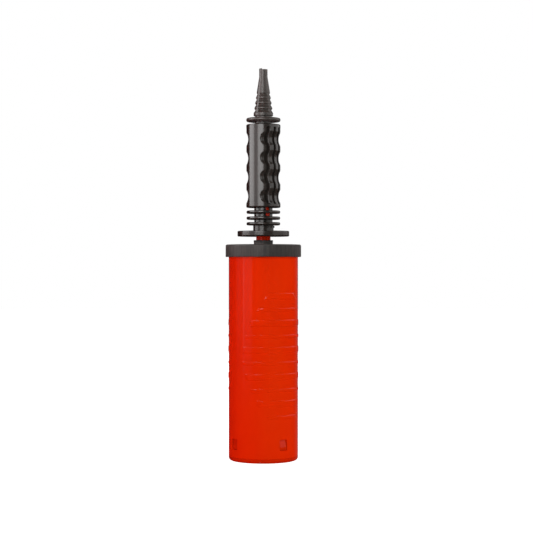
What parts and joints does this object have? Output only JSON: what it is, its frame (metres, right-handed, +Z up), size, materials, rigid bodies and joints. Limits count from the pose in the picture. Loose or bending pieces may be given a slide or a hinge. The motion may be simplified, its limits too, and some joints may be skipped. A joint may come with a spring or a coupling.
{
  "type": "ball inflation pump",
  "caption": "Hand-held double-action ball inflation pump: a ribbed barrel with a cap, and a finger-grip handle on a hollow rod that carries a barbed tapering nozzle.",
  "frame": {"origin": "centre of the round foot, on the surface that it stands on", "axes": "+Z up along the barrel and rod towards the nozzle tip; -Y towards the front, where the tongue window is seen right of centre"},
  "size_m": [0.0578, 0.0578, 0.2996],
  "materials": {
    "red_gloss": "glossy orange-red moulded plastic",
    "black_gloss": "glossy black moulded plastic",
    "black_matte": "fine-grained matte black moulded plastic",
    "black_rubber": "soft black rubber",
    "spring_steel": "stamped spring steel"
  },
  "bodies": {
    "barrel": {"barrel": "red_gloss", "base_plug": "red_gloss", "base_plug_seal": "black_rubber", "base_valve_stud": "red_gloss", "cap": "black_matte", "cap_gasket": "black_rubber", "guide_plate": "black_matte"},
    "base_valve": {"base_valve_disc": "black_rubber"},
    "cap_valve": {"cap_valve_ring": "black_rubber"},
    "rod_seal": {"rod_seal": "black_rubber"},
    "rod": {"rod": "red_gloss", "rod_end_plug": "red_gloss", "rod_o_ring": "black_rubber", "piston_upper_disc": "black_matte", "piston_lower_disc": "black_matte", "piston_clip": "spring_steel", "handle": "black_gloss", "grip": "black_gloss", "nozzle": "black_gloss", "nozzle_o_ring": "black_rubber"},
    "piston_ring": {"piston_ring": "black_rubber"}
  },
  "joints": [
    {"name": "twist", "type": "hinge", "parent": "barrel", "child": "rod_seal", "pos_m": [0, 0, 0.16], "axis": [0, 0, 1], "continuous": true},
    {"name": "stroke", "type": "slide", "parent": "rod_seal", "child": "rod", "axis": [0, 0, 1], "range_m": [0, 0.1108]},
    {"name": "ring_shift", "type": "slide", "parent": "rod", "child": "piston_ring", "axis": [0, 0, 1], "range_m": [0, 0.0014]},
    {"name": "base_valve_lift", "type": "slide", "parent": "barrel", "child": "base_valve", "axis": [0, 0, 1], "range_m": [0, 0.0012]},
    {"name": "cap_valve_lift", "type": "slide", "parent": "barrel", "child": "cap_valve", "axis": [0, 0, 1], "range_m": [0, 0.0012]}
  ]
}
